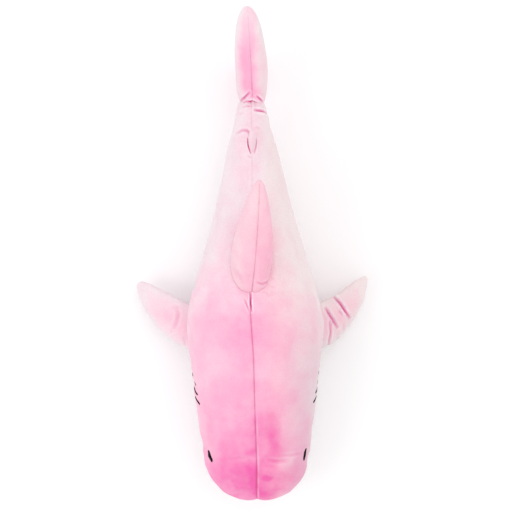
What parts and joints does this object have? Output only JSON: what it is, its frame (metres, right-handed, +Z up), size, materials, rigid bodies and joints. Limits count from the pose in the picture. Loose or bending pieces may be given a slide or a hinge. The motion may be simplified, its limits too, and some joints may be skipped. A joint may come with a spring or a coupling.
{
  "type": "plush shark",
  "caption": "Stuffed plush shark lying on its belly, with a bending tail, a tall dorsal fin, side fins and a crescent tail fin that all flop and spring back.",
  "frame": {"origin": "centre of the overall box, on the surface that the belly rests on", "axes": "+Y from the nose to the tail, +X to the shark's left, +Z up"},
  "size_m": [0.504, 1, 0.3451],
  "materials": {
    "back_plush": "matte",
    "belly_plush": "matte",
    "fin_plush": "matte",
    "stuffing": "matte",
    "eye_thread": "satin",
    "dark_thread": "satin",
    "seam_thread": "satin"
  },
  "bodies": {
    "torso": {"back_panel_left": "back_plush", "back_panel_right": "back_plush", "belly_panel": "belly_plush", "body_stuffing": "stuffing", "eye_left": "eye_thread", "eye_right": "eye_thread", "gill_bars_left": "dark_thread", "gill_bars_right": "dark_thread", "mouth_line": "dark_thread", "closing_stitches": "seam_thread"},
    "tail_stem": {"tail_back_panel_left": "back_plush", "tail_back_panel_right": "back_plush", "tail_belly_panel": "belly_plush", "tail_stuffing": "stuffing"},
    "tail_fin": {"tail_fin_panel_left": "fin_plush", "tail_fin_panel_right": "fin_plush", "tail_fin_stuffing": "stuffing"},
    "dorsal_fin": {"dorsal_panel_left": "fin_plush", "dorsal_panel_right": "fin_plush", "dorsal_stuffing": "stuffing", "dorsal_root_seam": "fin_plush"},
    "rear_fin": {"rear_fin_panel_left": "fin_plush", "rear_fin_panel_right": "fin_plush", "rear_fin_stuffing": "stuffing", "rear_fin_root_seam": "fin_plush"},
    "pectoral_left": {"pectoral_left_upper_panel": "fin_plush", "pectoral_left_lower_panel": "belly_plush", "pectoral_left_stuffing": "stuffing", "pectoral_left_root_seam": "fin_plush"},
    "pectoral_right": {"pectoral_right_upper_panel": "fin_plush", "pectoral_right_lower_panel": "belly_plush", "pectoral_right_stuffing": "stuffing", "pectoral_right_root_seam": "fin_plush"}
  },
  "joints": [
    {"name": "tail_sway", "type": "hinge", "parent": "torso", "child": "tail_stem", "pos_m": [0, 0.08, 0.12], "axis": [0, 0, 1], "range_deg": [-20, 20], "stiffness_Nm_per_rad": 3},
    {"name": "tail_fin_sway", "type": "hinge", "parent": "tail_stem", "child": "tail_fin", "pos_m": [0, 0.318, 0.13], "axis": [0, 0, 1], "range_deg": [-30, 30], "stiffness_Nm_per_rad": 0.6},
    {"name": "dorsal_flop", "type": "hinge", "parent": "torso", "child": "dorsal_fin", "pos_m": [0, 0.0115, 0.22108], "axis": [0, 0.9784, -0.2068], "range_deg": [-30, 30], "stiffness_Nm_per_rad": 0.5},
    {"name": "rear_fin_flop", "type": "hinge", "parent": "tail_stem", "child": "rear_fin", "pos_m": [0, 0.245, 0.17472], "axis": [0, 0.9916, -0.129], "range_deg": [-35, 35], "stiffness_Nm_per_rad": 0.02},
    {"name": "pectoral_left_flap", "type": "hinge", "parent": "torso", "child": "pectoral_left", "pos_m": [0.135, -0.136, 0.074], "axis": [0, -1, 0], "range_deg": [-15, 35], "stiffness_Nm_per_rad": 0.4},
    {"name": "pectoral_right_flap", "type": "hinge", "parent": "torso", "child": "pectoral_right", "pos_m": [-0.135, -0.136, 0.074], "axis": [0, 1, 0], "range_deg": [-15, 35], "stiffness_Nm_per_rad": 0.4}
  ]
}
